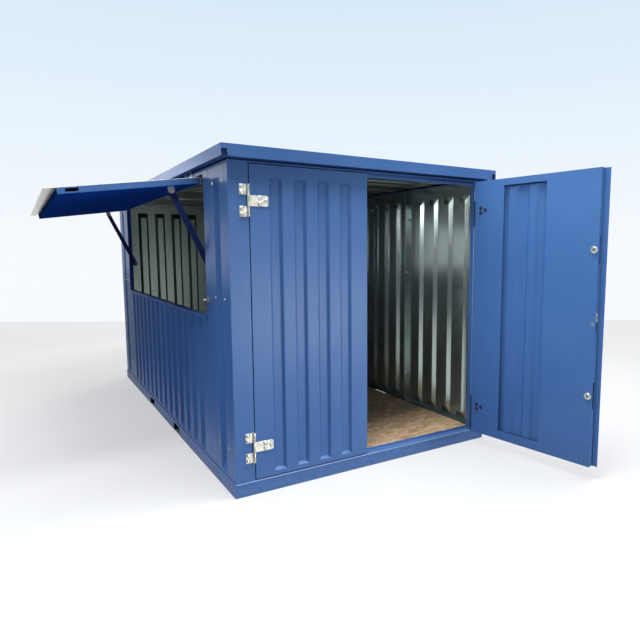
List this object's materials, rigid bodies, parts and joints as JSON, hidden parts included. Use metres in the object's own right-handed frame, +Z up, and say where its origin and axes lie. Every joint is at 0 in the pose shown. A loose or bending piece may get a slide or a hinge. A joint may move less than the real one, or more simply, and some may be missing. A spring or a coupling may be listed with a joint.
{
  "type": "flat pack kiosk",
  "caption": "Flat pack steel kiosk with ribbed sheet walls, double doors at one end and a long top-hung serving hatch held open on stays along one side.",
  "frame": {"origin": "on the ground, at the middle of the underside of the middle floor bearer", "axes": "+Z up, +Y along the kiosk away from the doors, +X to the right seen from the door end; the serving hatch is on the -X side"},
  "size_m": [3.1321, 5.0987, 2.2],
  "materials": {
    "blue_paint": "semi-gloss blue paint on sheet steel",
    "galvanised_sheet": "bare galvanised sheet",
    "zinc_plate": "zinc plated fittings",
    "strand_board": "oriented strand board"
  },
  "bodies": {
    "kiosk": {"base_front_rail": "blue_paint", "base_rear_rail": "blue_paint", "base_left_rail": "blue_paint", "base_right_rail": "blue_paint", "front_left_post": "blue_paint", "front_right_post": "blue_paint", "rear_left_post": "blue_paint", "rear_right_post": "blue_paint", "front_header": "blue_paint", "right_wall_panels": "blue_paint", "rear_wall_panels": "blue_paint", "left_front_panel": "blue_paint", "left_rear_panel": "blue_paint", "left_sill_panel": "blue_paint", "hatch_front_jamb": "blue_paint", "hatch_rear_jamb": "blue_paint", "hatch_head": "blue_paint", "hatch_sill": "blue_paint", "roof_front_fascia": "blue_paint", "roof_rear_fascia": "blue_paint", "roof_left_fascia": "blue_paint", "roof_right_fascia": "blue_paint", "stay_keepers": "blue_paint", "roof_panels": "blue_paint", "floor_bearers": "galvanised_sheet", "left_hinge_plates": "zinc_plate", "right_hinge_plates": "zinc_plate", "hatch_hinge_plates": "zinc_plate", "hatch_catches": "zinc_plate", "floor_board": "strand_board"},
    "left_door": {"left_door_leaf": "blue_paint", "left_hinge_straps": "zinc_plate"},
    "right_door": {"right_door_leaf": "blue_paint", "right_hinge_straps": "zinc_plate", "meeting_strip": "blue_paint", "lock_bosses": "zinc_plate", "latch_plate": "zinc_plate"},
    "flap": {"flap_skin": "blue_paint", "flap_frame": "blue_paint", "flap_lining": "blue_paint", "flap_hinge_straps": "zinc_plate", "stay_brackets": "zinc_plate"},
    "front_stay_bar": {"front_stay": "blue_paint"},
    "rear_stay_bar": {"rear_stay": "blue_paint"}
  },
  "joints": [
    {"name": "left_door_hinge", "type": "hinge", "parent": "kiosk", "child": "left_door", "pos_m": [-0.9425, -2.004, 1.096], "axis": [0, 0, -1], "range_deg": [0, 165]},
    {"name": "right_door_hinge", "type": "hinge", "parent": "kiosk", "child": "right_door", "pos_m": [0.9595, -2.004, 1.096], "axis": [0, 0, 1], "range_deg": [-98, 67]},
    {"name": "hatch_hinge", "type": "hinge", "parent": "kiosk", "child": "flap", "pos_m": [-1.079, 0, 2.076], "axis": [0, 1, 0], "range_deg": [-82.3, 0]},
    {"name": "front_stay_pivot", "type": "hinge", "parent": "flap", "child": "front_stay_bar", "pos_m": [-1.26648, -1.45, 1.96992], "axis": [0, 1, 0], "range_deg": [0, 107.65]},
    {"name": "rear_stay_pivot", "type": "hinge", "parent": "flap", "child": "rear_stay_bar", "pos_m": [-1.26648, 1.45, 1.96992], "axis": [0, 1, 0], "range_deg": [0, 107.65]}
  ],
  "couplings": [
    {"joint": "front_stay_pivot", "follows": "hatch_hinge", "ratio": -1.3074},
    {"joint": "rear_stay_pivot", "follows": "hatch_hinge", "ratio": -1.3074}
  ]
}
